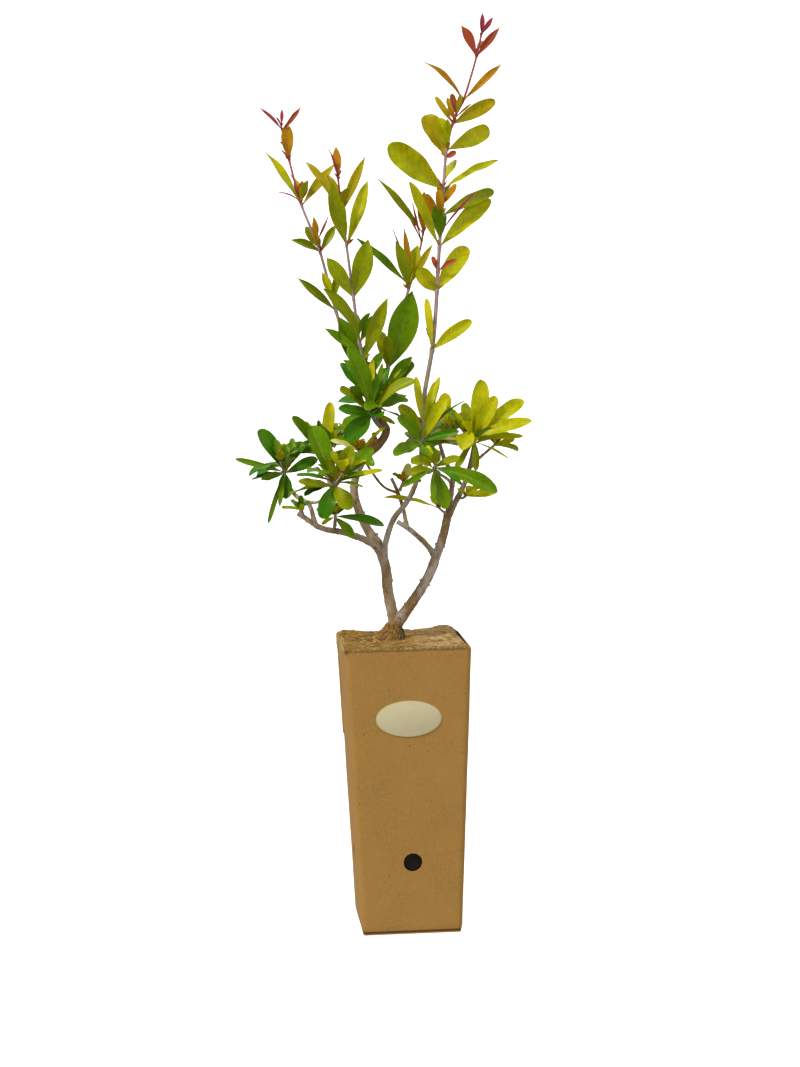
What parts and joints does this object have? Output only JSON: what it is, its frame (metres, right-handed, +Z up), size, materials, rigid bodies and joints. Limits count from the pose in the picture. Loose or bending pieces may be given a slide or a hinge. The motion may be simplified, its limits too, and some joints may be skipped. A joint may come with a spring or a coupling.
{
  "type": "young pomegranate tree in a tall card carton",
  "caption": "Young pomegranate tree with bronze-red shoot tips over pruned, crooked boughs, growing in a tall tapering card carton with a coir mulch mat.",
  "frame": {"origin": "centre of the carton's flat underside, on the surface that it stands on", "axes": "+Z up along the carton; -Y is the front with the oval label, +X is to the right seen from the front"},
  "size_m": [0.2347, 0.1494, 0.725],
  "materials": {
    "bark": "rough grey-brown bark",
    "foliage": "satin green leaves, bronze to red at the tips",
    "board": "matt recycled kraft board with flecks",
    "board_base": "matt recycled kraft board",
    "label": "smooth cream paper",
    "liner": "moulded black plastic",
    "soil": "damp dark potting compost",
    "coir": "loose coconut fibre"
  },
  "bodies": {
    "root": {"trunk": "bark", "right_stem": "bark", "left_bough": "bark", "left_riser": "bark", "left_twig": "bark", "left_spur": "bark", "middle_stem": "bark", "crook": "bark", "crook_stub": "bark", "leader_bough": "bark", "right_back_bough": "bark", "right_front_bough": "bark", "right_stub": "bark", "inner_twig": "bark", "side_bough": "bark", "side_riser": "bark", "side_twig": "bark", "back_bough": "bark", "leader_shoot": "foliage", "left_shoot": "foliage", "middle_shoot": "foliage", "centre_shoot": "foliage", "crown_rosette": "foliage", "near_left_rosette": "foliage", "far_left_rosette": "foliage", "left_spur_rosette": "foliage", "left_end_tuft": "foliage", "back_left_rosette": "foliage", "inner_right_rosette": "foliage", "right_front_rosette": "foliage", "right_back_rosette": "foliage", "right_stub_tuft": "foliage", "side_tuft": "foliage", "long_spur_leaf": "foliage", "right_low_tuft": "foliage", "side_riser_tuft": "foliage", "carton": "board", "carton_base": "board_base", "label": "label", "liner_pot": "liner", "root_ball": "soil", "coir_mat": "coir"}
  },
  "joints": []
}
